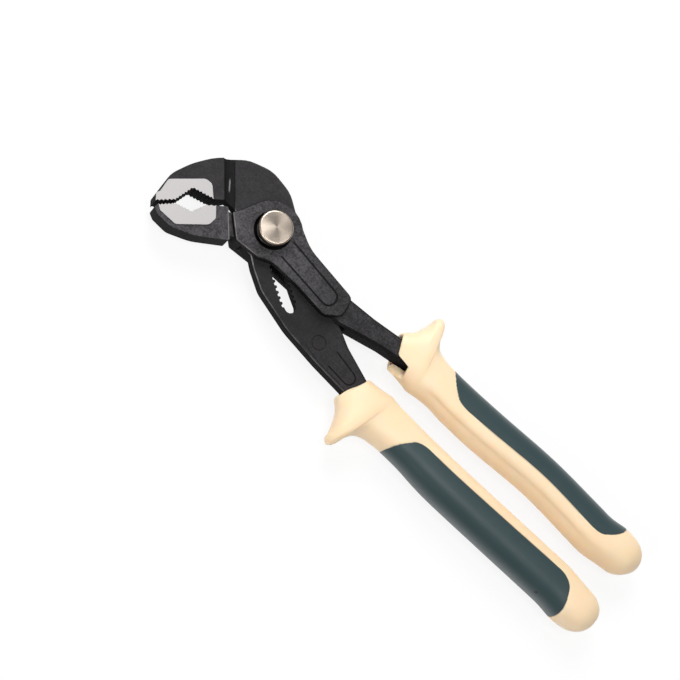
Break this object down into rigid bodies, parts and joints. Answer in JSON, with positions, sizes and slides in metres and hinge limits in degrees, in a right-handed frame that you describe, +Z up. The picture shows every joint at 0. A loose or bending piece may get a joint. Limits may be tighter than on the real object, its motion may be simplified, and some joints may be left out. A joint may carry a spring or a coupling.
{
  "type": "push-button pipe pliers",
  "caption": "Adjustable groove-joint pliers: serrated jaws with a pipe notch, a toothed curved slot locked by a sprung push-button pin, and guarded two-colour sleeves.",
  "frame": {"origin": "middle of the box in X and Y, on the plane that the closed pliers lie on", "axes": "+X from the jaws to the handle ends, +Y from the slotted half's handle to the button half's handle, +Z up out of the button face"},
  "size_m": [0.257, 0.075, 0.0205],
  "materials": {
    "black_forged_steel": "black phosphated forging, satin",
    "nickel_button": "satin nickel",
    "bare_steel": "machined",
    "cream_sleeve": "smooth moulded",
    "dark_green_inlay": "soft, matt"
  },
  "bodies": {
    "slotted_lever": {"slotted_half": "black_forged_steel", "left_sleeve": "cream_sleeve", "left_inlay": "dark_green_inlay"},
    "pin_seat": {"return_spring": "bare_steel"},
    "button_lever": {"button_half": "black_forged_steel", "guide_bush": "bare_steel", "right_sleeve": "cream_sleeve", "right_inlay": "dark_green_inlay"},
    "lock_pin_body": {"lock_pin": "bare_steel", "push_button": "nickel_button"}
  },
  "joints": [
    {"name": "groove_shift", "type": "hinge", "parent": "slotted_lever", "child": "pin_seat", "pos_m": [0.00338, 0.10941, 0.00854], "axis": [0, 0, 1], "range_deg": [0, 12.42]},
    {"name": "jaw_pivot", "type": "hinge", "parent": "pin_seat", "child": "button_lever", "pos_m": [-0.08276, 0.01205, 0.00854], "axis": [0, 0, 1], "range_deg": [-1.2, 25]},
    {"name": "button_press", "type": "slide", "parent": "pin_seat", "child": "lock_pin_body", "axis": [0, 0, -1], "range_m": [0, 0.0032], "stiffness_N_per_m": 1500, "springref_m": -0.003, "deforming": ["return_spring"]}
  ]
}
